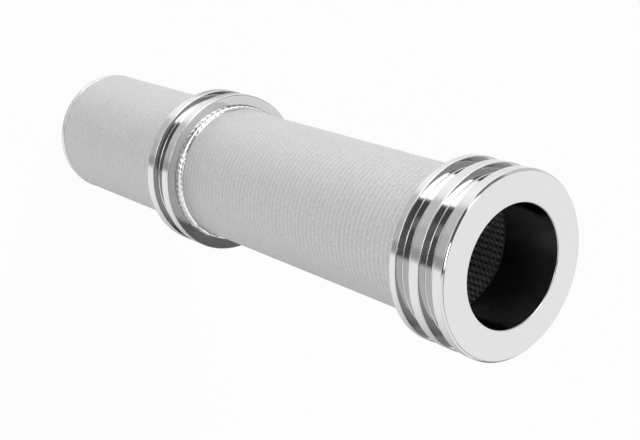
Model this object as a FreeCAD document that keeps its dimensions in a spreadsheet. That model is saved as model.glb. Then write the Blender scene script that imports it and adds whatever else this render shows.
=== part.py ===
# Sintered mesh filter element, in millimetres, standing on its closed end with +Z up.
# The origin is the middle of the closed end, where it stands.
# A tube rolled from sintered wire mesh is closed below by a turned cap. A turned collar with one
# O-ring groove is slid over it part way up, and a turned fitting with two O-ring grooves and an
# open bore sits on its top. Weld beads join the pieces, so nothing moves.

import FreeCAD, Part
import os
import Sketcher

doc = FreeCAD.newDocument("filter_element")

# Driving sizes, the only numbers that set the model
SIZES = {
    "overall_length": 240.0,  # closed end to open face
    "tube_diameter": 50.0,  # outside of the mesh tube
    "tube_wall": 1.7,  # five layers of mesh, sintered together
    "bore_step": 3.3,  # the smooth bore's wall stands this far in from the tube's inside
    "groove_wall": 2.45,  # steel left between the tube and the floor of an O-ring groove
    "land_width": 4.2,  # each land beside an O-ring groove
    "back_land_width": 2.8,  # last land of the fitting, on the tube's side
    "groove_width": 5.8,  # O-ring groove, wall to wall
    "groove_depth": 3.0,  # O-ring grooves of the fitting, land to floor
    "collar_groove_depth": 2.5,  # O-ring groove of the collar, land to floor
    "edge_break": 0.4,  # broken outer edges of the lands
    "face_chamfer": 0.65,  # outer edge of the open face
    "bore_chamfer": 0.2,  # mouth of the bore
    "seat_depth": 0.5,  # recess in the fitting's back that centres the tube
    "seat_clearance": 0.05,  # round the tube, in that recess and in the collar
    "collar_height": 79.8,  # closed end to the collar's lower face
    "cap_rim": 2.4,  # thickness of the cap's rim, below the tube
    "cap_chamfer": 1.0,  # lower edge of the cap
    "spigot_length": 4.0,  # part of the cap that enters the tube
    "spigot_clearance": 0.1,  # round the spigot, inside the tube
    "weld_tube_leg": 2.4,  # fillet weld, measured along the tube
    "weld_face_leg": 1.5,  # fillet weld, measured on the turned face
    "weld_fullness": 0.64,  # share of both legs at the middle of the weld's full front
    "cap_weld_depth": 0.8,  # V groove between cap and tube that the closing weld fills
    "cap_weld_crown": 0.15,  # rise of the closing weld above the tube
}


class Length:
    """A length that knows its value and the sheet expression that gives it."""

    def __init__(self, value, text):
        self.value = value
        self.text = text

    def __add__(self, other):
        return Length(self.value + other.value, f"({self.text} + {other.text})")

    def __sub__(self, other):
        return Length(self.value - other.value, f"({self.text} - {other.text})")

    def __mul__(self, other):
        if isinstance(other, Length):
            return Length(self.value * other.value, f"({self.text} * {other.text})")
        return Length(self.value * other, f"({self.text} * {other})")

    def __truediv__(self, divisor):
        return Length(self.value / divisor, f"({self.text} / {divisor})")


def fill_sheet(sizes):
    """Write the driving sizes into the document's sheet, one aliased cell each."""
    sheet = doc.addObject("Spreadsheet::Sheet", "Sizes")
    for row, (word, value) in enumerate(sizes.items(), start=1):
        sheet.set(f"A{row}", word)
        sheet.set(f"B{row}", str(value))
        sheet.setAlias(f"B{row}", word)
    doc.recompute()
    return {word: Length(value, f"Sizes.{word}") for word, value in sizes.items()}


size = fill_sheet(SIZES)
ZERO = Length(0.0, "0")

# Places and radii that follow from the driving sizes
tube_outside = size["tube_diameter"] / 2
tube_inside = tube_outside - size["tube_wall"]
bore_radius = tube_inside - size["bore_step"]
seat_radius = tube_outside + size["seat_clearance"]
floor_radius = seat_radius + size["groove_wall"]
land_radius = floor_radius + size["groove_depth"]
groove_pitch = size["land_width"] + size["groove_width"]
fitting_length = size["back_land_width"] + groove_pitch * 2
collar_length = groove_pitch + size["land_width"]
fitting_height = size["overall_length"] - fitting_length
tube_top = fitting_height + size["seat_depth"]


def new_body(name, height=ZERO):
    """A sub-part with its own Label, lifted to its height above the closed end."""
    body = doc.addObject("PartDesign::Body", name)
    body.Label = name
    body.setExpression(".Placement.Base.z", height.text)
    return body


def half_section(body, name, corners):
    """A closed outline on the body's XZ plane, ready to turn about its Z axis.

    corners are (radius, height) pairs of lengths, anticlockwise.
    """
    sketch = body.newObject("Sketcher::SketchObject", name)
    plane = next(item for item in body.Origin.OriginFeatures if item.Role == "XZ_Plane")
    sketch.AttachmentSupport = [(plane, "")]
    sketch.MapMode = "FlatFace"

    points = [FreeCAD.Vector(radius.value, height.value, 0) for radius, height in corners]
    for number, start in enumerate(points):
        end = points[(number + 1) % len(points)]
        sketch.addGeometry(Part.LineSegment(start, end), False)

    for number, (radius, height) in enumerate(corners):
        following = (number + 1) % len(corners)
        sketch.addConstraint(Sketcher.Constraint("Coincident", number, 2, following, 1))
        place(sketch, f"radius_{number}", "DistanceX", number, radius)
        place(sketch, f"height_{number}", "DistanceY", number, height)
    return sketch


def place(sketch, name, direction, corner, distance):
    """Bind one coordinate of a corner to the sheet, or lay the corner on the sketch's axis."""
    if distance is ZERO:
        axis = -2 if direction == "DistanceX" else -1
        sketch.addConstraint(Sketcher.Constraint("PointOnObject", corner, 1, axis))
        return
    index = sketch.addConstraint(
        Sketcher.Constraint(direction, -1, 1, corner, 1, distance.value)
    )
    sketch.renameConstraint(index, name)
    sketch.setExpression(f"Constraints.{name}", distance.text)


def turned(body, name, corners, cut=False):
    """Turn a half section about the body's axis, to add its ring or to cut it away."""
    sketch = half_section(body, f"{name}_section", corners)
    feature = body.newObject("PartDesign::Groove" if cut else "PartDesign::Revolution", name)
    feature.Profile = sketch
    feature.ReferenceAxis = (sketch, ["V_Axis"])
    feature.Angle = 360
    body.Tip = feature
    doc.recompute()
    return feature


def ring_groove(body, name, bottom, depth, count=1):
    """Cut O-ring grooves with broken edges, the lowest one from bottom up."""
    edge = size["edge_break"]
    floor = land_radius - depth
    top = bottom + size["groove_width"]
    before = body.Tip.Shape.Volume
    groove = turned(
        body,
        name,
        [
            (floor, bottom),
            (land_radius - edge, bottom),
            (land_radius, bottom - edge),
            (land_radius + edge, bottom - edge),
            (land_radius + edge, top + edge),
            (land_radius, top + edge),
            (land_radius - edge, top),
            (floor, top),
        ],
        cut=True,
    )
    one_groove = before - groove.Shape.Volume
    if count > 1:
        row = body.newObject("PartDesign::LinearPattern", f"{name}_row")
        row.Originals = [groove]
        row.Direction = (groove.Profile[0], ["V_Axis"])
        row.Mode = "Spacing"
        row.setExpression("Offset", groove_pitch.text)
        row.Occurrences = count
        body.Tip = row
        doc.recompute()
    removed = before - body.Tip.Shape.Volume
    if one_groove <= 0 or abs(removed - count * one_groove) > 1e-6 * before:
        raise RuntimeError(f"{name} cut {removed} cubic millimetres")


def make_end_fitting():
    """The open end: a turned ring with two O-ring grooves, whose back centres the tube."""
    body = new_body("end_fitting", fitting_height)
    edge = size["edge_break"]
    chamfer = size["face_chamfer"]
    mouth = size["bore_chamfer"]
    turned(
        body,
        "blank",
        [
            (bore_radius, size["seat_depth"]),
            (seat_radius, size["seat_depth"]),
            (seat_radius, ZERO),
            (land_radius - edge, ZERO),
            (land_radius, edge),
            (land_radius, fitting_length - chamfer),
            (land_radius - chamfer, fitting_length),
            (bore_radius + mouth, fitting_length),
            (bore_radius, fitting_length - mouth),
        ],
    )
    ring_groove(body, "seal_groove", size["back_land_width"], size["groove_depth"], count=2)
    return body


def make_mesh_tube():
    """The filter wall, one rolled tube. Its lower edge is bevelled for the closing weld."""
    body = new_body("mesh_tube", size["cap_rim"])
    bevel = size["cap_weld_depth"]
    length = tube_top - size["cap_rim"]
    turned(
        body,
        "wall",
        [
            (tube_inside, ZERO),
            (tube_outside - bevel, ZERO),
            (tube_outside, bevel),
            (tube_outside, length),
            (tube_inside, length),
        ],
    )
    return body


def make_middle_collar():
    """The ring part way up the tube, with one O-ring groove."""
    body = new_body("middle_collar", size["collar_height"])
    edge = size["edge_break"]
    turned(
        body,
        "blank",
        [
            (seat_radius, ZERO),
            (land_radius - edge, ZERO),
            (land_radius, edge),
            (land_radius, collar_length - edge),
            (land_radius - edge, collar_length),
            (seat_radius, collar_length),
        ],
    )
    ring_groove(body, "seal_groove", size["land_width"], size["collar_groove_depth"])
    return body


def make_end_cap():
    """The closed end: a rim flush with the tube, and a spigot that enters it."""
    body = new_body("end_cap")
    bevel = size["cap_weld_depth"]
    rim = size["cap_rim"]
    spigot_radius = tube_inside - size["spigot_clearance"]
    turned(
        body,
        "blank",
        [
            (ZERO, ZERO),
            (tube_outside - size["cap_chamfer"], ZERO),
            (tube_outside, size["cap_chamfer"]),
            (tube_outside, rim - bevel),
            (tube_outside - bevel, rim),
            (spigot_radius, rim),
            (spigot_radius, rim + size["spigot_length"]),
            (ZERO, rim + size["spigot_length"]),
        ],
    )
    return body


def make_fillet_weld(name, face_height, up):
    """A full bead in the corner between the tube and a turned face, above or below that face."""
    tube_leg = size["weld_tube_leg"]
    full = size["weld_fullness"]
    toe = tube_outside + size["weld_face_leg"]
    front = tube_outside + size["weld_face_leg"] * full
    if up:
        body = new_body(name, face_height)
        corners = [
            (tube_outside, ZERO),
            (toe, ZERO),
            (front, tube_leg * full),
            (tube_outside, tube_leg),
        ]
    else:
        body = new_body(name, face_height - tube_leg)
        corners = [
            (tube_outside, tube_leg),
            (tube_outside, ZERO),
            (front, tube_leg - tube_leg * full),
            (toe, tube_leg),
        ]
    turned(body, "bead", corners)
    return body


def make_cap_weld():
    """The closing weld, which fills the V groove between the cap's rim and the tube."""
    depth = size["cap_weld_depth"]
    body = new_body("cap_weld", size["cap_rim"] - depth)
    turned(
        body,
        "bead",
        [
            (tube_outside - depth, depth),
            (tube_outside, ZERO),
            (tube_outside + size["cap_weld_crown"], depth),
            (tube_outside, depth * 2),
        ],
    )
    return body


def check_document():
    """Stop if any object of the document failed to build."""
    for item in doc.Objects:
        if "Invalid" in item.State or "Error" in item.State:
            raise RuntimeError(f"{item.Label} did not build: {item.State}")


def export(parts):
    """Write each sub-part as one valid solid, named by its Label."""
    os.makedirs("parts", exist_ok=True)
    for part in parts:
        shape = part.Shape
        if shape.isNull() or not shape.isValid() or len(shape.Solids) != 1:
            raise RuntimeError(f"{part.Label} is not one valid solid")
    for part in parts:
        box = part.Shape.optimalBoundingBox(False)
        print(
            f"{part.Label}: {part.Shape.Volume:.1f} cubic mm, "
            f"{box.XLength:.2f} across, from {box.ZMin:.2f} to {box.ZMax:.2f} high"
        )
        part.Shape.exportStep(f"parts/{part.Label}.step")


collar_top = size["collar_height"] + collar_length
parts = [
    make_end_fitting(),
    make_mesh_tube(),
    make_middle_collar(),
    make_end_cap(),
    make_fillet_weld("fitting_weld", fitting_height, up=False),
    make_fillet_weld("collar_front_weld", collar_top, up=True),
    make_fillet_weld("collar_back_weld", size["collar_height"], up=False),
    make_cap_weld(),
]
doc.recompute()
check_document()
export(parts)
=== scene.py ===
# %% [markdown]
# # A sintered mesh filter element
#
# The object is a tube rolled from sintered wire mesh. It has a turned steel fitting with two
# O-ring grooves at its open end, a turned collar part way along and a welded cap at its closed
# end. It stands upright on the cap, and the camera looks down at it over the open end.
#
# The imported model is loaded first. It is the frame: every piece made here takes its place from
# it.

import math
import random

import bmesh
import bpy
from mathutils import Matrix, Vector


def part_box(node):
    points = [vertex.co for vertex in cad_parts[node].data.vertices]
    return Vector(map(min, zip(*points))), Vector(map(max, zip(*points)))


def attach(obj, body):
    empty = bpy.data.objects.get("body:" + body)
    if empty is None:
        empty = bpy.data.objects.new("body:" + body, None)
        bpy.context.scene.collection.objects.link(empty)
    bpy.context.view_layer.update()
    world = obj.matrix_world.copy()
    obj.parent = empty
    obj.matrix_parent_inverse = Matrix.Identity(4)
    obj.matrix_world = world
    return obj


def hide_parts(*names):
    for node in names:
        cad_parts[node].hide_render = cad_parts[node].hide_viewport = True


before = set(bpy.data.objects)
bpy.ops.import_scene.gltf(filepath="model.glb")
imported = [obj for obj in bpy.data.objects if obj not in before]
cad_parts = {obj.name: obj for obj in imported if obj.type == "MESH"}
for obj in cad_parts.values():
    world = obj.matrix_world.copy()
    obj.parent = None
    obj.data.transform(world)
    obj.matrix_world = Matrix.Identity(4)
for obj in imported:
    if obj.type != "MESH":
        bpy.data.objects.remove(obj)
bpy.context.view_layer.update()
print("nodes:", ", ".join(sorted(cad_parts)))

# %% [markdown]
# ## Sizes
#
# Blender works in metres here. The sizes below are the ones that several pieces share, as radii
# and widths. Places along the tube come from the boxes of the CAD nodes, so nothing is fitted by
# hand.

# %% Sizes of the real pieces
MM = 0.001
HAIR = 0.001 * MM  # places closer than this are the same place
TUBE_OUTSIDE = 25.0 * MM
TUBE_INSIDE = 23.3 * MM
BORE = 20.0 * MM
LAND = 30.5 * MM
GROOVE_WIDTH = 5.8 * MM
LAND_WIDTH = 4.2 * MM
SEAT = 25.05 * MM
MESH_PITCH = 25.4 * MM / 12


def span(node):
    """Lowest and highest point of a CAD node along the tube."""
    low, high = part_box(node)
    return low.z, high.z


for node in sorted(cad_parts):
    print(node, [round(1000 * v, 2) for v in span(node)])

# %% [markdown]
# ## How a turned piece is made
#
# A lathe makes a ring by turning one outline about the axis, and Blender's Spin does the same.
# The outline starts as a few vertices, one for each corner of half the section. Bevel on
# vertices then rounds the corners, because a polished edge shows as a thin bright line only when
# it has a radius. Spin closes its own seam with use_merge, and corners that lie on the axis are
# merged to one pole.

# %% Outline, rounding and spin
TURNS = 288
ROUNDING_SEGMENTS = 5
SAME_POINT = 1e-7
NO_LENGTH = 1e-8


def outline(corners):
    """A closed loop of vertices from (radius, height, rounding) corners."""
    bm = bmesh.new()
    verts = [bm.verts.new((radius, 0, height)) for radius, height, _ in corners]
    for start, end in zip(verts, verts[1:] + verts[:1]):
        bm.edges.new((start, end))
    roundings = {}
    for vert, (_, _, rounding) in zip(verts, corners):
        if rounding:
            roundings.setdefault(rounding, []).append(vert)
    for rounding, rounded in roundings.items():
        bmesh.ops.bevel(
            bm,
            geom=rounded,
            offset=rounding,
            offset_type="OFFSET",
            segments=ROUNDING_SEGMENTS,
            profile=0.5,
            affect="VERTICES",
            clamp_overlap=True,
            material=-1,
        )
    return bm


def spin(bm, turns):
    """Turn the outline about the tube's axis into a closed ring with its faces outwards."""
    bmesh.ops.spin(
        bm,
        geom=bm.verts[:] + bm.edges[:],
        cent=(0, 0, 0),
        axis=(0, 0, 1),
        angle=math.tau,
        steps=turns,
        use_merge=True,
    )
    on_axis = [v for v in bm.verts if math.hypot(v.co.x, v.co.y) < SAME_POINT]
    bmesh.ops.remove_doubles(bm, verts=on_axis, dist=SAME_POINT)
    bmesh.ops.dissolve_degenerate(bm, dist=NO_LENGTH, edges=bm.edges)
    bmesh.ops.recalc_face_normals(bm, faces=bm.faces)


def finish_piece(name, bm, nodes, flat=True):
    """Make the mesh an object that rides on the body and stands for its CAD nodes."""
    for face in bm.faces:
        face.smooth = True
    open_edges = sum(1 for edge in bm.edges if len(edge.link_faces) != 2)
    mesh = bpy.data.meshes.new(name)
    bm.to_mesh(mesh)
    bm.free()
    piece = bpy.data.objects.new(name, mesh)
    bpy.context.scene.collection.objects.link(piece)
    if flat:
        weighted = piece.modifiers.new("flat_faces_stay_flat", "WEIGHTED_NORMAL")
        weighted.weight = 100
    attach(piece, "root")
    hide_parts(*nodes)
    triangles = sum(len(p.vertices) - 2 for p in mesh.polygons)
    print(f"{name}: {triangles} triangles, {open_edges} open edges")
    return piece


# %% [markdown]
# ## The open end fitting
#
# The fitting is turned from bar: three lands, two O-ring grooves between them and a smooth bore.
# Its land edges are rounded by 0.4 mm, so that they don't cut the O-rings, and catch a lamp as
# bright streaks. The groove's inner corners keep the tool's nose radius of 0.3 mm, which is the
# fine bright line in each groove. A recess in the fitting's back centres the tube.

# %% Fitting
GROOVE_DEPTH = 3.0 * MM
BACK_LAND_WIDTH = 2.8 * MM
SEAT_DEPTH = 0.5 * MM
SEAT_EDGE = 0.1 * MM
EDGE = 0.4 * MM
NOSE = 0.3 * MM
FACE_CHAMFER = 0.65 * MM
BORE_CHAMFER = 0.2 * MM
CHAMFER_ROUNDING = 0.1 * MM


def groove(bottom, depth):
    """The four corners of an O-ring groove in the outline, from its bottom up."""
    top = bottom + GROOVE_WIDTH
    return [
        (LAND, bottom, EDGE),
        (LAND - depth, bottom, NOSE),
        (LAND - depth, top, NOSE),
        (LAND, top, EDGE),
    ]


def make_end_fitting():
    back, front = span("end_fitting")
    first = back + BACK_LAND_WIDTH
    second = first + GROOVE_WIDTH + LAND_WIDTH
    corners = [
        (BORE, back + SEAT_DEPTH, 0),
        (SEAT, back + SEAT_DEPTH, 0),
        (SEAT, back, SEAT_EDGE),
        (LAND, back, EDGE),
        *groove(first, GROOVE_DEPTH),
        *groove(second, GROOVE_DEPTH),
        (LAND, front - FACE_CHAMFER, CHAMFER_ROUNDING),
        (LAND - FACE_CHAMFER, front, CHAMFER_ROUNDING),
        (BORE + BORE_CHAMFER, front, CHAMFER_ROUNDING),
        (BORE, front - BORE_CHAMFER, CHAMFER_ROUNDING),
    ]
    bm = outline(corners)
    spin(bm, TURNS)
    return finish_piece("end_fitting_turned", bm, ["end_fitting"])


end_fitting = make_end_fitting()

# %% [markdown]
# ## The collar
#
# The collar is one O-ring groove between two lands. It slid over the tube before it was welded.
# Its groove is a little shallower than the fitting's.

# %% Collar
COLLAR_GROOVE_DEPTH = 2.5 * MM


def make_collar():
    back, front = span("middle_collar")
    corners = [
        (SEAT, back, SEAT_EDGE),
        (LAND, back, EDGE),
        *groove(back + LAND_WIDTH, COLLAR_GROOVE_DEPTH),
        (LAND, front, EDGE),
        (SEAT, front, SEAT_EDGE),
    ]
    bm = outline(corners)
    spin(bm, TURNS)
    return finish_piece("middle_collar_turned", bm, ["middle_collar"])


middle_collar = make_collar()

# %% [markdown]
# ## The end cap
#
# The cap closes the far end. Its rim is flush with the tube, its spigot enters it, and the V
# between them is filled by the closing weld. The outline touches the axis, so the spin leaves
# two poles.

# %% Cap
CAP_CHAMFER = 1.0 * MM
CAP_ROUNDING = 0.5 * MM
CAP_RIM = 2.4 * MM
WELD_DEPTH = 0.8 * MM
SPIGOT = TUBE_INSIDE - 0.1 * MM


def make_cap():
    bottom, top = span("end_cap")
    rim = bottom + CAP_RIM
    corners = [
        (0, bottom, 0),
        (TUBE_OUTSIDE - CAP_CHAMFER, bottom, CAP_ROUNDING),
        (TUBE_OUTSIDE, bottom + CAP_CHAMFER, CAP_ROUNDING),
        (TUBE_OUTSIDE, rim - WELD_DEPTH, 0),
        (TUBE_OUTSIDE - WELD_DEPTH, rim, 0),
        (SPIGOT, rim, 0),
        (SPIGOT, top, EDGE),
        (0, top, 0),
    ]
    bm = outline(corners)
    spin(bm, TURNS)
    return finish_piece("end_cap_turned", bm, ["end_cap"])


end_cap = make_cap()

# %% [markdown]
# ## The mesh tube
#
# Five layers of wire mesh are sintered into one stiff sheet, which is rolled and welded to a
# tube. Outside lies fine filter cloth. The wires of the support mesh under it, 12 to the inch,
# show through as shallow rings. The rings are real geometry here: the outline's outer line is
# subdivided and its vertices are moved in and out before it is spun. The fine cloth is left to
# the material. The wall's inside is set back by the thickness of the lining that follows.

# %% Outer wall with its rings
RING_DEPTH = 0.12 * MM
RING_STEPS = 4
TUBE_TURNS = 160
LINING = 0.35 * MM


def make_tube_wall():
    bottom, top = span("mesh_tube")
    bm = outline([
        (TUBE_INSIDE + LINING, bottom, 0),
        (TUBE_OUTSIDE - WELD_DEPTH, bottom, 0),
        (TUBE_OUTSIDE, bottom + WELD_DEPTH, 0),
        (TUBE_OUTSIDE, top, 0),
        (TUBE_INSIDE + LINING, top, 0),
    ])
    length = top - bottom - WELD_DEPTH
    outer = [e for e in bm.edges if all(v.co.x > TUBE_OUTSIDE - HAIR for v in e.verts)]
    cuts = round(length / MESH_PITCH * RING_STEPS)
    bmesh.ops.subdivide_edges(bm, edges=outer, cuts=cuts)
    for vert in bm.verts:
        if vert.co.x > TUBE_OUTSIDE - HAIR:
            wave = math.cos(math.tau * vert.co.z / MESH_PITCH)
            vert.co.x -= RING_DEPTH * (0.5 - 0.5 * wave)
    spin(bm, TUBE_TURNS)
    return finish_piece("mesh_tube_wall", bm, ["mesh_tube"], flat=False)


tube_wall = make_tube_wall()

# %% [markdown]
# Inside, the support mesh is bare. Its knuckles stand in rows and columns, 12 to the inch both
# ways, and show through the open bore. This lining is a thin ring whose inner line is
# subdivided, spun with four steps to each wire, and then moved to the height of the wires at
# each vertex. The rows near the bore are the ones in sight, so only they are divided finely.

# %% Support mesh inside
WIRES_ROUND = 69
STEPS_A_WIRE = 4
WIRE_HEIGHT = 0.62 * MM
WIRE_HALF_WIDTH = 0.34  # share of the pitch
ROW_HEIGHT = 0.55  # share of a knuckle's height
MIDDLE_HEIGHT = 0.45  # the height that lies at the tube's inside radius
FINE_ROWS = 18
STEPS_A_FINE_ROW = 6
CUTS_A_PLAIN_ROW = 2.6


def wire_section(off):
    """Height of a round wire, 0 to 1, at a place off its middle."""
    return math.sqrt(max(0.0, 1 - (off / WIRE_HALF_WIDTH) ** 2))


def wire_height(around, along):
    """Height of the woven wires, 0 to 1, at a place counted in wires round and along the tube."""
    rise = 0.5 + 0.5 * math.cos(math.tau * along)
    column = wire_section(around - round(around)) * (1 - ROW_HEIGHT + ROW_HEIGHT * rise)
    row = wire_section(along + 0.5 - round(along + 0.5)) * ROW_HEIGHT
    return max(column, row)


def make_support_mesh():
    bottom = span("end_cap")[1]
    top = span("mesh_tube")[1]
    fine_from = top - FINE_ROWS * MESH_PITCH
    outside = TUBE_INSIDE + 1.5 * LINING
    bm = outline([
        (TUBE_INSIDE, bottom, 0),
        (outside, bottom, 0),
        (outside, top, 0),
        (TUBE_INSIDE, top, 0),
        (TUBE_INSIDE, fine_from, 0),
    ])
    inner = [e for e in bm.edges if all(v.co.x < TUBE_INSIDE + HAIR for v in e.verts)]
    fine = [e for e in inner if min(v.co.z for v in e.verts) > fine_from - HAIR]
    plain = [e for e in inner if e not in fine]
    bmesh.ops.subdivide_edges(bm, edges=fine, cuts=FINE_ROWS * STEPS_A_FINE_ROW - 1)
    rows = (fine_from - bottom) / MESH_PITCH
    bmesh.ops.subdivide_edges(bm, edges=plain, cuts=round(rows * CUTS_A_PLAIN_ROW))
    spin(bm, WIRES_ROUND * STEPS_A_WIRE)
    for vert in bm.verts:
        radius = math.hypot(vert.co.x, vert.co.y)
        if radius < TUBE_INSIDE + HAIR:
            around = math.atan2(vert.co.y, vert.co.x) / math.tau * WIRES_ROUND
            along = (top - vert.co.z) / MESH_PITCH
            lift = WIRE_HEIGHT * (wire_height(around, along) - MIDDLE_HEIGHT)
            vert.co.x *= 1 - lift / radius
            vert.co.y *= 1 - lift / radius
    return finish_piece("support_mesh", bm, ["mesh_tube"], flat=False)


support_mesh = make_support_mesh()

# %% [markdown]
# ## The weld beads
#
# A hand-fed weld leaves a row of overlapping ripples, like fallen coins, about 2.3 mm apart.
# Each bead starts as a half section, is spun in many small steps and then gets its ripples:
# round backs with a sharp crease between them, bent forwards in the middle of the bead, as the
# molten pool was. Along the tube runs a smooth rim, where the metal wetted the mesh. Where the
# weld closes on its own start there is a thicker lump, with a hollow crater behind it.

# %% Ripples and lumps
RIPPLES = 70
RIPPLE_HEIGHT = 0.18 * MM
LUMP_HEIGHT = 0.5 * MM


def ripple(angle, across, wander):
    """Height of the ripples, about 0 to 1, at an angle and at a place across the bead, -1 to 1."""
    bend = 0.5 * across**2
    unsteady = 0.35 * math.sin(3 * angle + wander)
    phase = RIPPLES * angle / math.tau + bend + unsteady
    step = phase - math.floor(phase)
    crest = 1 - (2 * step - 1) ** 2
    # The coins fade towards the tube, where the smooth rim takes over.
    coin = crest * max(0.0, 1 - (max(0.0, across + 0.3) / 0.75) ** 2)
    rim = 0.6 * max(0.0, 1 - ((across - 0.72) / 0.3) ** 2)
    return max(coin, rim)


def choose_lumps(rng, closing_angle):
    """Lumps as (angle, strength, width in radians): the closing lump, then the hand's own."""
    lumps = [
        (closing_angle, 0.6, 0.05),
        (closing_angle + 0.12, -0.5, 0.05),
        (closing_angle + 0.26, 0.4, 0.04),
        (closing_angle + 0.42, -0.6, 0.07),
    ]
    for _ in range(9):
        lumps.append((rng.uniform(0, math.tau), rng.uniform(-0.25, 0.25), 0.05))
    return lumps


def swell_at(angle, lumps):
    """Sum of the lumps' strengths at an angle."""
    swell = 0.0
    for place, strength, width in lumps:
        gap = math.remainder(angle - place, math.tau)
        swell += strength * math.exp(-((gap / width) ** 2))
    return swell


print("ripples are", round(math.tau * TUBE_OUTSIDE / RIPPLES / MM, 2), "mm apart on the tube")

# %% Bead
STEPS_A_RIPPLE = 11
BEAD_POINTS = 16
BEAD_FULLNESS = 0.9
BEAD_ROOT = 0.2 * MM


def bead_section(toe, tube_leg):
    """Half section of a bead: its full front from the turned face to the tube, then its root."""
    section = []
    for number in range(BEAD_POINTS + 1):
        turn = math.pi / 2 * number / BEAD_POINTS
        rise = toe * math.cos(turn) ** BEAD_FULLNESS
        section.append((rise, tube_leg * math.sin(turn) ** BEAD_FULLNESS))
    return section + [(-BEAD_ROOT, tube_leg), (-BEAD_ROOT, 0.0)]


def make_bead(name, node, face_below, closing_angle, seed):
    """A rippled fillet. Its turned face lies below it, as at the collar's front, or above it."""
    low, high = span(node)
    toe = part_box(node)[1].x - TUBE_OUTSIDE
    rng = random.Random(seed)
    wander = rng.uniform(0, math.tau)
    lumps = choose_lumps(rng, closing_angle)
    corners = []
    for rise, along in bead_section(toe, high - low):
        height = low + along if face_below else high - along
        corners.append((TUBE_OUTSIDE + rise, height, 0))
    bm = outline(corners)
    spin(bm, RIPPLES * STEPS_A_RIPPLE)
    middle = Vector((TUBE_OUTSIDE, low if face_below else high))
    for vert in bm.verts:
        radius = math.hypot(vert.co.x, vert.co.y)
        if radius < TUBE_OUTSIDE - BEAD_ROOT / 2:
            continue
        angle = math.atan2(vert.co.y, vert.co.x)
        out = Vector((radius, vert.co.z)) - middle
        share = math.atan2(abs(out.y) / (high - low), out.x / toe) / (math.pi / 2)
        across = 2 * share - 1
        lift = RIPPLE_HEIGHT * (ripple(angle, across, wander) - 0.45)
        lift += LUMP_HEIGHT * swell_at(angle, lumps) * (1 - across**2)
        # At the toe on the tube hardly anything is lifted, so the bead stays seated there.
        lift *= min(1.0, (1 - across) * 4 + 0.15)
        moved = out + out.normalized() * lift
        scale = (middle.x + moved.x) / radius
        vert.co.x *= scale
        vert.co.y *= scale
        vert.co.z = middle.y + moved.y
    return finish_piece(name, bm, [node], flat=False)


fitting_bead = make_bead(
    "fitting_weld_bead", "fitting_weld", face_below=False, closing_angle=2.2, seed=3
)
collar_front_bead = make_bead(
    "collar_front_weld_bead", "collar_front_weld", face_below=True, closing_angle=-0.4, seed=5
)
collar_back_bead = make_bead(
    "collar_back_weld_bead", "collar_back_weld", face_below=False, closing_angle=1.4, seed=8
)

# %% [markdown]
# The closing weld at the cap was run on a lathe and dressed nearly flush, so its ripples are
# much lower. It is made in the same way, from a flat crown.

# %% Closing weld at the cap
CAP_RIPPLE_HEIGHT = 0.05 * MM
CAP_STEPS_A_RIPPLE = 8
CAP_WELD_ROOT = 0.3 * MM
CAP_WELD_TAPER = 0.1 * MM
CROWN_ROUNDING = 0.3 * MM


def make_cap_bead():
    low, high = span("cap_weld")
    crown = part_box("cap_weld")[1].x
    middle = (low + high) / 2
    bm = outline([
        (TUBE_OUTSIDE - CAP_WELD_ROOT, low + CAP_WELD_TAPER, 0),
        (TUBE_OUTSIDE, low, 0),
        (crown, middle, CROWN_ROUNDING),
        (TUBE_OUTSIDE, high, 0),
        (TUBE_OUTSIDE - CAP_WELD_ROOT, high - CAP_WELD_TAPER, 0),
    ])
    spin(bm, RIPPLES * CAP_STEPS_A_RIPPLE)
    for vert in bm.verts:
        radius = math.hypot(vert.co.x, vert.co.y)
        if radius > TUBE_OUTSIDE + 0.01 * MM:
            across = (vert.co.z - middle) / (high - middle)
            angle = math.atan2(vert.co.y, vert.co.x)
            lift = CAP_RIPPLE_HEIGHT * (ripple(angle, across, wander=0.4) - 1)
            vert.co.x *= 1 + lift / radius
            vert.co.y *= 1 + lift / radius
    return finish_piece("cap_weld_bead", bm, ["cap_weld"], flat=False)


cap_bead = make_cap_bead()

# %% [markdown]
# ## Material helpers
#
# Every material is made of shader nodes alone. The helper below adds a node, sets its values and
# wires its inputs in one line, which keeps the recipes readable. Patterns read the Object
# coordinates. All pieces have their origin on the tube's axis, so the distance from the axis,
# the angle round it and the height along it are the same on every piece.

# %% Node helpers
def add(tree, kind, settings=None, **inputs):
    """Add a node. Inputs are named as in Blender with _ for a space, or numbered, as in _0."""
    node = tree.nodes.new(kind)
    for key, value in (settings or {}).items():
        setattr(node, key, value)
    for key, value in inputs.items():
        numbered = key.startswith("_")
        socket = node.inputs[int(key[1:]) if numbered else key.replace("_", " ")]
        if isinstance(value, bpy.types.NodeSocket):
            tree.links.new(value, socket)
        else:
            socket.default_value = value
    return node


def sums(tree, operation, first, second=0.0, third=0.0, clamp=False):
    """One Math node's result."""
    settings = {"operation": operation, "use_clamp": clamp}
    return add(tree, "ShaderNodeMath", settings, _0=first, _1=second, _2=third).outputs[0]


def new_group(name, inputs, outputs):
    """An empty shader node group with named float or vector sockets."""
    group = bpy.data.node_groups.new(name, "ShaderNodeTree")
    for word, value in inputs.items():
        kind = "NodeSocketVector" if value is None else "NodeSocketFloat"
        socket = group.interface.new_socket(word, in_out="INPUT", socket_type=kind)
        if value is not None:
            socket.default_value = value
    for word in outputs:
        group.interface.new_socket(word, in_out="OUTPUT", socket_type="NodeSocketFloat")
    given = group.nodes.new("NodeGroupInput").outputs
    out = group.nodes.new("NodeGroupOutput").inputs
    return group, given, out


# %% [markdown]
# ### Places on a round piece
#
# This group turns the coordinates of a point into three numbers in metres: how far it is round
# the tube, how far along it, and how far from its axis.

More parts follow.
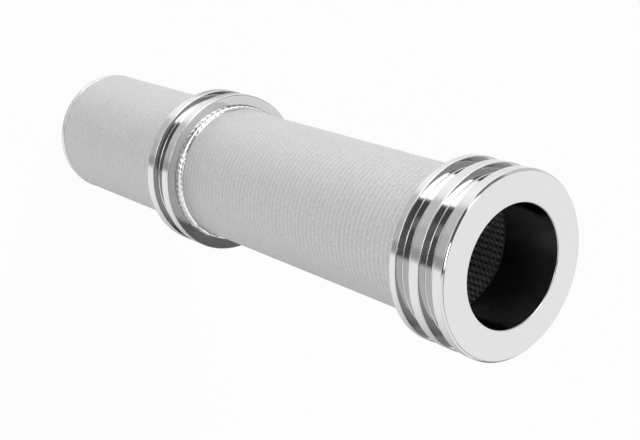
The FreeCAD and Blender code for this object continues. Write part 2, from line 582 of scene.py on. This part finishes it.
# %% Group: places on a round piece
def make_round_places():
    group, given, out = new_group("round_places", {"Point": None}, ["Around", "Along", "Radius"])
    point = add(group, "ShaderNodeSeparateXYZ", None, _0=given["Point"])
    x, y, z = point.outputs
    angle = sums(group, "ARCTAN2", y, x)
    square = sums(group, "ADD", sums(group, "MULTIPLY", x, x), sums(group, "MULTIPLY", y, y))
    group.links.new(sums(group, "MULTIPLY", angle, TUBE_OUTSIDE), out["Around"])
    group.links.new(z, out["Along"])
    group.links.new(sums(group, "SQRT", square), out["Radius"])
    return group


round_places = make_round_places()
print("group:", round_places.name)

# %% [markdown]
# ### Turning marks
#
# A lathe tool leaves hair-fine rings round the axis, on a face as on a land, and polishing
# leaves traces of them. One-dimensional noise, read at the radius plus the height, gives rings
# on both. A second, slow noise stands for handling: faint patches where the polish is a little
# duller.

# %% Group: turning marks
def make_turning_marks():
    group, given, out = new_group(
        "turning_marks", {"Point": None, "Fineness": 9000.0}, ["Height", "Dulling"]
    )
    places = add(group, "ShaderNodeGroup", {"node_tree": round_places}, Point=given["Point"])
    along = sums(group, "ADD", places.outputs["Radius"], places.outputs["Along"])
    rings = add(
        group,
        "ShaderNodeTexNoise",
        {"noise_dimensions": "1D"},
        W=sums(group, "MULTIPLY", along, given["Fineness"]),
        Scale=1.0,
        Detail=3.0,
        Roughness=0.6,
    )
    patches = add(
        group,
        "ShaderNodeTexNoise",
        None,
        Vector=given["Point"],
        Scale=55.0,
        Detail=4.0,
        Roughness=0.6,
    )
    group.links.new(rings.outputs[0], out["Height"])
    group.links.new(patches.outputs[0], out["Dulling"])
    return group


turning_marks = make_turning_marks()
print("group:", turning_marks.name)

# %% [markdown]
# ### Steel finishes
#
# All the steel is one metal in different finishes: mirror on the lands, a little softer in the
# grooves, most of all on their upper wall, a fine turned satin on the collar's faces, and the
# bore, which was only reamed. The grooves, their upper wall most of all, and the bore are also
# given a darker grey: painted shade in these recesses.

# %% Steel materials
def new_material(name):
    """A material with an empty node tree, its shader and its point coordinates."""
    material = bpy.data.materials.new(name)
    material.use_nodes = True
    tree = material.node_tree
    tree.nodes.clear()
    output = tree.nodes.new("ShaderNodeOutputMaterial")
    shader = tree.nodes.new("ShaderNodeBsdfPrincipled")
    tree.links.new(shader.outputs[0], output.inputs["Surface"])
    point = tree.nodes.new("ShaderNodeTexCoord").outputs["Object"]
    return material, tree, shader, point


def steel(name, grey, roughness, dulling, marks, fineness):
    """Turned steel: its grey, its roughness with duller patches, and the depth of its rings."""
    material, tree, shader, point = new_material(name)
    shader.inputs["Metallic"].default_value = 1.0
    turned = add(
        tree,
        "ShaderNodeGroup",
        {"node_tree": turning_marks},
        Point=point,
        Fineness=fineness,
    )
    patch = add(
        tree,
        "ShaderNodeMapRange",
        None,
        Value=turned.outputs["Dulling"],
        From_Min=0.35,
        From_Max=0.7,
        To_Min=roughness,
        To_Max=roughness + dulling,
    )
    tree.links.new(patch.outputs[0], shader.inputs["Roughness"])
    shade = add(
        tree,
        "ShaderNodeMapRange",
        None,
        Value=turned.outputs["Height"],
        From_Min=0.3,
        From_Max=0.7,
        To_Min=0.94,
        To_Max=1.0,
    )
    colour = add(
        tree,
        "ShaderNodeVectorMath",
        {"operation": "SCALE"},
        _0=(grey, grey, grey),
        Scale=shade.outputs[0],
    )
    tree.links.new(colour.outputs[0], shader.inputs["Base Color"])
    bump = add(
        tree, "ShaderNodeBump", None, Strength=1.0, Distance=marks, Height=turned.outputs["Height"]
    )
    tree.links.new(bump.outputs[0], shader.inputs["Normal"])
    return material


# Each finish: grey, roughness, extra roughness of the patches, depth of the rings, their fineness
polished_steel = steel("polished_steel", 0.785, 0.045, 0.035, 0.0004 * MM, 9000.0)
# The darker greys of the groove, of its upper wall and of the bore are painted shade.
groove_shaded_steel = steel("groove_shaded_steel", 0.67, 0.06, 0.03, 0.0004 * MM, 9000.0)
far_wall_shaded_steel = steel("far_wall_shaded_steel", 0.52, 0.12, 0.05, 0.0006 * MM, 9000.0)
satin_steel = steel("turned_steel", 0.72, 0.14, 0.04, 0.0008 * MM, 6000.0)
bored_and_shaded_steel = steel("bored_and_shaded_steel", 0.71, 0.06, 0.05, 0.0008 * MM, 5000.0)
steels = (polished_steel, groove_shaded_steel, far_wall_shaded_steel, satin_steel, bored_and_shaded_steel)
print("steel:", ", ".join(material.name for material in steels))

# %% [markdown]
# ### The sintered cloth
#
# The filter cloth is woven from hair-fine wire. Two crossing waves, each fading where the other
# rises, give the over-and-under of the weave. Its contrast is low, as on the real tube, where it
# reads as a soft grain on satin grey. The rings that the support wires press through it are
# painted a bit lighter on their crests, most of all where a crossing wire lies below: a painted
# highlight on the rings.

# %% Group: fine weave
def make_fine_weave():
    group, given, out = new_group(
        "fine_weave", {"Around": 0.0, "Along": 0.0, "Pitch": 0.5 * MM}, ["Height"]
    )
    half_turn = sums(group, "DIVIDE", math.pi, given["Pitch"])
    warp = sums(group, "MULTIPLY", given["Around"], half_turn)
    weft = sums(group, "MULTIPLY", given["Along"], half_turn)
    over = sums(group, "MULTIPLY", sums(group, "SINE", warp), sums(group, "SINE", weft))
    under = sums(group, "MULTIPLY", sums(group, "COSINE", warp), sums(group, "COSINE", weft))
    high = sums(group, "MAXIMUM", sums(group, "ABSOLUTE", over), sums(group, "ABSOLUTE", under))
    group.links.new(high, out["Height"])
    return group


fine_weave = make_fine_weave()
print("group:", fine_weave.name)


# %% Sintered cloth material
CLOTH_PITCH = 0.45 * MM
CLOTH_RELIEF = 0.03 * MM
CROSSING_PITCH = math.tau * TUBE_OUTSIDE / 112


def make_sintered_cloth():
    material, tree, shader, point = new_material("sintered_cloth")
    shader.inputs["Metallic"].default_value = 1.0
    places = add(tree, "ShaderNodeGroup", {"node_tree": round_places}, Point=point)
    weave = add(
        tree,
        "ShaderNodeGroup",
        {"node_tree": fine_weave},
        Around=places.outputs["Around"],
        Along=places.outputs["Along"],
        Pitch=CLOTH_PITCH,
    )
    grain = add(
        tree, "ShaderNodeTexNoise", None, Vector=point, Scale=1700.0, Detail=2.0, Roughness=0.6
    )
    cloud = add(tree, "ShaderNodeTexNoise", None, Vector=point, Scale=45.0, Detail=3.0)
    relief = sums(tree, "MULTIPLY_ADD", grain.outputs[0], 1.2, weave.outputs[0])
    bump = add(tree, "ShaderNodeBump", None, Strength=1.0, Distance=CLOTH_RELIEF, Height=relief)
    tree.links.new(bump.outputs[0], shader.inputs["Normal"])
    ring = sums(tree, "MULTIPLY", places.outputs["Along"], math.tau / MESH_PITCH)
    crest = sums(tree, "COSINE", ring)
    wire = sums(tree, "MULTIPLY", places.outputs["Around"], math.tau / CROSSING_PITCH)
    crossing = sums(tree, "COSINE", wire)
    # Painted highlight: the ring crests are lighter, most of all over a crossing wire.
    ring_crest_highlight = sums(tree, "MULTIPLY", crest, sums(tree, "MULTIPLY_ADD", crossing, 0.5, 1.0))
    # The tone is mostly the grain, with a little painted highlight on the ring crests and a little
    # of the slow cloud.
    tone = sums(tree, "MULTIPLY_ADD", grain.outputs[0], 0.42, 0.485)
    tone = sums(tree, "MULTIPLY_ADD", ring_crest_highlight, 0.035, tone)
    tone = sums(tree, "MULTIPLY_ADD", cloud.outputs[0], 0.03, tone)
    colour = add(tree, "ShaderNodeCombineColor", None, _0=tone, _1=tone, _2=tone)
    tree.links.new(colour.outputs[0], shader.inputs["Base Color"])
    rough = sums(tree, "MULTIPLY_ADD", cloud.outputs[0], 0.08, 0.66)
    tree.links.new(rough, shader.inputs["Roughness"])
    return material


sintered_cloth = make_sintered_cloth()
print("cloth:", sintered_cloth.name)

# %% [markdown]
# ### The support wires
#
# The wires inside are painted darker the farther they lie from the axis, which is painted shade
# in the hollows between the knuckles, and only their knuckles keep a bright grey. The radius says
# which is which: the knuckles stand closest to the axis.

# %% Support wire material
WIRE_GRAIN = 0.02 * MM


def make_support_wire():
    material, tree, shader, point = new_material("support_wire")
    shader.inputs["Metallic"].default_value = 1.0
    shader.inputs["Roughness"].default_value = 0.62
    places = add(tree, "ShaderNodeGroup", {"node_tree": round_places}, Point=point)
    # Painted shade: the hollows between the knuckles are darker than the knuckles.
    knuckle = add(
        tree,
        "ShaderNodeMapRange",
        None,
        Value=places.outputs["Radius"],
        From_Min=TUBE_INSIDE + 0.1 * MM,
        From_Max=TUBE_INSIDE - 0.28 * MM,
        To_Min=0.17,
        To_Max=1.0,
    )
    grain = add(
        tree, "ShaderNodeTexNoise", None, Vector=point, Scale=1500.0, Detail=2.0, Roughness=0.6
    )
    uneven = sums(tree, "MULTIPLY_ADD", grain.outputs[0], 1.6, 0.2)
    tone = sums(tree, "MULTIPLY", knuckle.outputs[0], uneven, clamp=True)
    colour = add(tree, "ShaderNodeCombineColor", None, _0=tone, _1=tone, _2=tone)
    tree.links.new(colour.outputs[0], shader.inputs["Base Color"])
    bump = add(
        tree, "ShaderNodeBump", None, Strength=1.0, Distance=WIRE_GRAIN, Height=grain.outputs[0]
    )
    tree.links.new(bump.outputs[0], shader.inputs["Normal"])
    return material


support_wire = make_support_wire()
print("wire:", support_wire.name)

# %% [markdown]
# ### The weld metal
#
# A clean weld in steel is bright and smooth, a little wavy where it froze.

# %% Weld material
WELD_WAVES = 0.03 * MM


def make_weld_metal():
    material, tree, shader, point = new_material("weld_metal")
    shader.inputs["Metallic"].default_value = 1.0
    shader.inputs["Base Color"].default_value = (0.88, 0.88, 0.88, 1)
    skin = add(
        tree, "ShaderNodeTexNoise", None, Vector=point, Scale=900.0, Detail=3.0, Roughness=0.55
    )
    bump = add(
        tree, "ShaderNodeBump", None, Strength=1.0, Distance=WELD_WAVES, Height=skin.outputs[0]
    )
    tree.links.new(bump.outputs[0], shader.inputs["Normal"])
    rough = sums(tree, "MULTIPLY_ADD", skin.outputs[0], 0.14, 0.14)
    tree.links.new(rough, shader.inputs["Roughness"])
    return material


weld_metal = make_weld_metal()
print("weld:", weld_metal.name)

# %% [markdown]
# ## Giving each piece its finish
#
# The turned pieces carry more than one finish. A face gets it from where it is and from the way
# it points: the collar's and cap's flat ends are satin, the bore is reamed, whatever lies below
# the lands is a groove, whose upper wall is the rougher one, and the rest is mirror. The bore, the
# grooves and most of all the grooves' upper wall also get a darker grey, which is painted shade.

# %% Assign the finishes
END_ZONE = 1 * MM
SQUARE_ON = 0.9  # a normal's share along the axis, from which a face counts as flat


def finish_faces(piece, materials, choose):
    """Give each face the material that choose(radius, from_end, normal) returns."""
    for material in materials:
        piece.data.materials.append(material)
    heights = [vert.co.z for vert in piece.data.vertices]
    low, high = min(heights), max(heights)
    for face in piece.data.polygons:
        radius = math.hypot(face.center.x, face.center.y)
        from_end = min(face.center.z - low, high - face.center.z)
        face.material_index = materials.index(choose(radius, from_end, face.normal))
    print(piece.name, "finishes:", ", ".join(m.name for m in materials))


def land_or_groove(radius, from_end, normal):
    nose = 0.1 < normal.z < SQUARE_ON
    if from_end < END_ZONE or radius > LAND - EDGE or nose:
        return polished_steel
    # The groove, and most of all its upper wall, get painted shade as a darker grey.
    return far_wall_shaded_steel if normal.z < -SQUARE_ON else groove_shaded_steel


def fitting_finish(radius, from_end, normal):
    # The bore's darker grey is painted shade; its roughness is the reamed finish.
    if radius < BORE + 0.1 * MM:
        return bored_and_shaded_steel
    return land_or_groove(radius, from_end, normal)


def collar_finish(radius, from_end, normal):
    if from_end < 10 * HAIR and abs(normal.z) > SQUARE_ON:
        return satin_steel
    return land_or_groove(radius, from_end, normal)


def cap_finish(radius, from_end, normal):
    return satin_steel if abs(normal.z) > SQUARE_ON else polished_steel


finish_faces(
    end_fitting, [polished_steel, groove_shaded_steel, far_wall_shaded_steel, bored_and_shaded_steel], fitting_finish
)
finish_faces(
    middle_collar, [polished_steel, groove_shaded_steel, far_wall_shaded_steel, satin_steel], collar_finish
)
finish_faces(end_cap, [polished_steel, satin_steel], cap_finish)
tube_wall.data.materials.append(sintered_cloth)
support_mesh.data.materials.append(support_wire)
for bead in (fitting_bead, collar_front_bead, collar_back_bead, cap_bead):
    bead.data.materials.append(weld_metal)

# %% [markdown]
# ## Floor
#
# The object stands on a plain white floor. The camera sees it as white with the soft shadow that
# falls on it, and reflections in the steel see the studio round it instead.

# %% Floor
FLOOR_SIZE = 4.0
SHADOW_SHARE = 0.06


def make_floor():
    bm = bmesh.new()
    bmesh.ops.create_grid(bm, x_segments=1, y_segments=1, size=FLOOR_SIZE)
    mesh = bpy.data.meshes.new("floor")
    bm.to_mesh(mesh)
    bm.free()
    floor = bpy.data.objects.new("floor", mesh)
    bpy.context.scene.collection.objects.link(floor)
    material = bpy.data.materials.new("white_floor")
    material.use_nodes = True
    tree = material.node_tree
    tree.nodes.clear()
    glow = add(tree, "ShaderNodeEmission", None, Color=(1, 1, 1, 1), Strength=1.0)
    paint = add(tree, "ShaderNodeBsdfDiffuse", None, Color=(1, 1, 1, 1))
    looks = {"_1": glow.outputs[0], "_2": paint.outputs[0]}
    both = add(tree, "ShaderNodeMixShader", None, _0=SHADOW_SHARE, **looks)
    output = tree.nodes.new("ShaderNodeOutputMaterial")
    tree.links.new(both.outputs[0], output.inputs["Surface"])
    mesh.materials.append(material)
    floor.visible_glossy = False
    floor.visible_diffuse = False
    floor.visible_shadow = False
    return floor


floor = make_floor()
print("floor:", [round(v, 2) for v in floor.dimensions])

# %% [markdown]
# ## Studio light
#
# Polished steel shows nothing but what stands round it, so the studio is a tent: white all
# round, a bright soft box to one side, and dark panels beside and behind the camera that draw
# the dark bands in the lands and grooves. The tent is far away, so it is painted in the world by
# direction. Each panel is a soft-edged patch at an azimuth and an elevation.

# %% Group: tent panel
def make_tent_panel():
    group, given, out = new_group(
        "tent_panel",
        {
            "Direction": None,
            "Azimuth": 0.0,
            "Half Width": 0.5,
            "Width Edge": 0.05,
            "Elevation": 0.0,
            "Half Height": 0.5,
            "Height Edge": 0.05,
        },
        ["Mask"],
    )
    turned = add(
        group,
        "ShaderNodeVectorRotate",
        {"rotation_type": "Z_AXIS"},
        Vector=given["Direction"],
        Angle=sums(group, "MULTIPLY", given["Azimuth"], -1.0),
    )
    x, y, z = add(group, "ShaderNodeSeparateXYZ", None, _0=turned.outputs[0]).outputs
    aside = sums(group, "ABSOLUTE", sums(group, "ARCTAN2", y, x))
    level = sums(group, "ARCSINE", z)
    above = sums(group, "ABSOLUTE", sums(group, "SUBTRACT", level, given["Elevation"]))

    def inside(distance, half, edge):
        near = add(
            group,
            "ShaderNodeMapRange",
            {"interpolation_type": "SMOOTHSTEP"},
            Value=distance,
            From_Min=sums(group, "ADD", half, edge),
            From_Max=sums(group, "SUBTRACT", half, edge),
            To_Min=0.0,
            To_Max=1.0,
        )
        return near.outputs[0]

    across = inside(aside, given["Half Width"], given["Width Edge"])
    upward = inside(above, given["Half Height"], given["Height Edge"])
    group.links.new(sums(group, "MULTIPLY", across, upward), out["Mask"])
    return group


tent_panel = make_tent_panel()
print("group:", tent_panel.name)

# %% World
LIGHT_LEVEL = 0.97
# Each panel: azimuth, half width, soft edge, elevation, half height, soft edge (degrees), level.
# A later panel covers an earlier one.
PANELS = [
    ("left_horizon", -150, 50, 14, 0, 14, 6, 1.8),
    ("right_horizon", 40, 70, 25, -15, 13, 6, 0.2),
    ("low_glow", -160, 12, 14, -45, 30, 15, 1.15),
    ("low_side", 70, 43, 49, -50, 30, 20, 0.50),
    ("low_back", 125, 30, 12, -45, 30, 15, 0.93),
    ("low_left", 132, 30, 14, -75, 22, 4, 0.52),
    ("low_grey_left", -118, 20, 7, -58, 42, 8, 0.62),
    ("low_grey", -80, 22, 4, -58, 42, 8, 0.53),
    ("low_stripe", -68, 6, 4, -58, 40, 6, 0.36),
    ("left_low_grey", 146, 24, 8, 10, 12, 6, 0.72),
    ("left_grey", -172, 20, 5, 32, 12, 8, 0.22),
    ("left_dark", 140, 27, 4, 50, 22, 6, 0.12),
    ("behind_camera", -96, 42, 4, 50, 37, 6, 0.11),
    ("edge_lamp", -90, 13, 5, 22, 12, 4, 1.8),
    ("behind_left", -103, 8, 4, 38, 5, 3, 0.45),
    ("right_upper", -15, 41, 8, 90, 37, 14, 0.05),
    ("right_dark", 52, 25, 6, 54, 34, 5, 0.05),
    ("back_dark", 70, 21, 5, 66, 21, 1.5, 0.06),
    ("soft_box", -166, 26, 2, 57, 16, 1, 3.0),
    ("small_lamp", -76, 16, 4, 49.5, 1.8, 1.2, 4.5),
]


def make_world():
    world = bpy.data.worlds.new("tent")
    bpy.context.scene.world = world
    world.use_nodes = True
    tree = world.node_tree
    tree.nodes.clear()
    direction = tree.nodes.new("ShaderNodeTexCoord").outputs["Generated"]
    ray = tree.nodes.new("ShaderNodeLightPath").outputs
    # Seen by the camera or in the steel, the bare tent is exactly white. As a lamp it is a little
    # lower, so that the pale cloth doesn't clip.
    seen = sums(tree, "ADD", ray["Is Camera Ray"], ray["Is Glossy Ray"])
    seen = sums(tree, "ADD", seen, ray["Is Transmission Ray"], clamp=True)
    indirect = sums(tree, "SUBTRACT", 1.0, ray["Is Camera Ray"])
    light = sums(tree, "MULTIPLY_ADD", seen, 1.0 - LIGHT_LEVEL, LIGHT_LEVEL)
    # The camera itself sees no panel, only the white behind them.
    for name, azimuth, wide, soft, elevation, tall, blur, level in PANELS:
        panel = add(
            tree,
            "ShaderNodeGroup",
            {"node_tree": tent_panel, "label": name},
            Direction=direction,
            Azimuth=math.radians(azimuth),
            Half_Width=math.radians(wide),
            Width_Edge=math.radians(soft),
            Elevation=math.radians(elevation),
            Half_Height=math.radians(tall),
            Height_Edge=math.radians(blur),
        )
        share = sums(tree, "MULTIPLY", panel.outputs[0], indirect)
        blend = add(tree, "ShaderNodeMix", {"data_type": "FLOAT"}, _0=share, _2=light, _3=level)
        light = blend.outputs[0]
    tent = add(tree, "ShaderNodeBackground", None, Color=(1, 1, 1, 1), Strength=light)
    output = tree.nodes.new("ShaderNodeOutputWorld")
    tree.links.new(tent.outputs[0], output.inputs["Surface"])
    return world


world = make_world()
print("world:", len(PANELS), "panels")

# %% [markdown]
# ## Camera
#
# The camera stands where the photograph's did: above the open end and in front of it, rolled so
# that the tube lies from upper left to lower right. Its place and the directions of its right
# side and its view were solved from the outlines of the round faces in the photograph.

# %% Camera
SENSOR_WIDTH = 36.0
LENS = 71.48
CAMERA_PLACE = (0, -0.30143, 0.48579)
CAMERA_RIGHT = (-0.32005, 0.70807, 0.62954)
CAMERA_VIEW = (0.01375, 0.66794, -0.74414)


def make_camera():
    data = bpy.data.cameras.new("camera")
    camera = bpy.data.objects.new("camera", data)
    bpy.context.scene.collection.objects.link(camera)
    data.sensor_width = SENSOR_WIDTH
    data.lens = LENS
    data.clip_start = 0.01
    data.clip_end = 50.0
    right = Vector(CAMERA_RIGHT).normalized()
    forward = Vector(CAMERA_VIEW).normalized()
    up = right.cross(forward)
    turn = Matrix((right, up, -forward)).transposed()
    camera.matrix_world = Matrix.Translation(CAMERA_PLACE) @ turn.to_4x4()
    bpy.context.scene.camera = camera
    return camera


camera = make_camera()
print("camera:", [round(v, 3) for v in camera.location])

# %% [markdown]
# ## Colours
#
# The Standard view shows the colours as they are, so white stays white.

# %% Colours as they are
bpy.context.scene.view_settings.view_transform = "Standard"
print("view transform:", bpy.context.scene.view_settings.view_transform)
